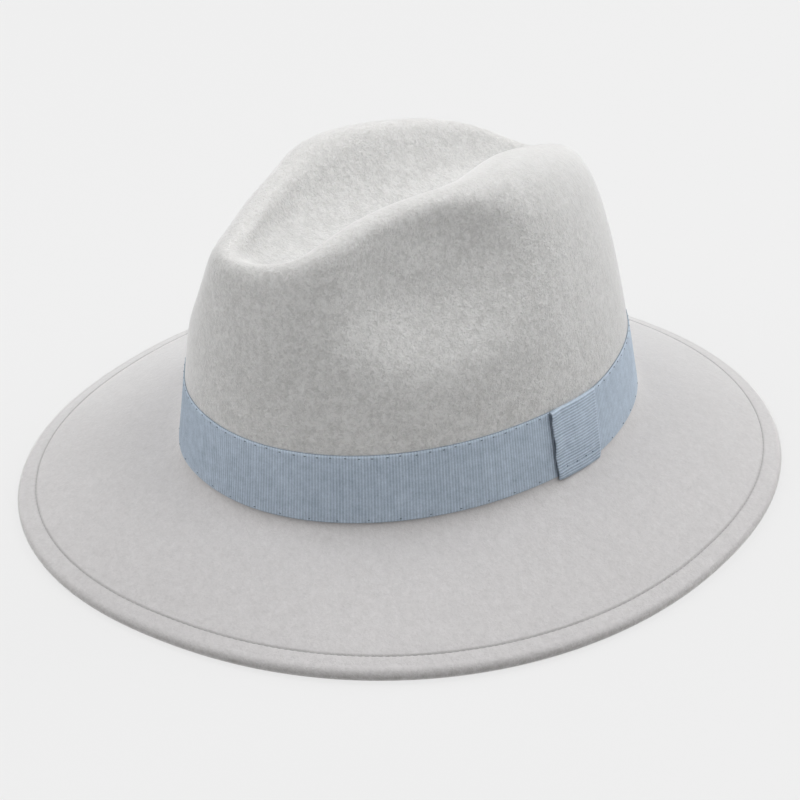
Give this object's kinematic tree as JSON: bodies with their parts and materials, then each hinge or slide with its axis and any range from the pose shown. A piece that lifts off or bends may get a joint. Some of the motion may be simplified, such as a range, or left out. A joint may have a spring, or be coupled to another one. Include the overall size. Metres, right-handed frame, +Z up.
{
  "type": "fedora",
  "caption": "Soft felt fedora with a creased, front-pinched crown, a stitched down-sloping brim and a grosgrain ribbon band closed by a flat keeper.",
  "frame": {"origin": "middle of the brim's outline, on the surface that the hat rests on", "axes": "+Z up, -Y towards the front of the hat, +X towards the wearer's left"},
  "size_m": [0.2952, 0.3116, 0.1412],
  "materials": {
    "felt": "matte, slightly fuzzy light grey wool felt",
    "ribbon": "blue-grey grosgrain with fine cross ribs and a soft sheen"
  },
  "bodies": {
    "root": {"felt_body": "felt", "ribbon_band": "ribbon", "ribbon_keeper": "ribbon"}
  },
  "joints": []
}
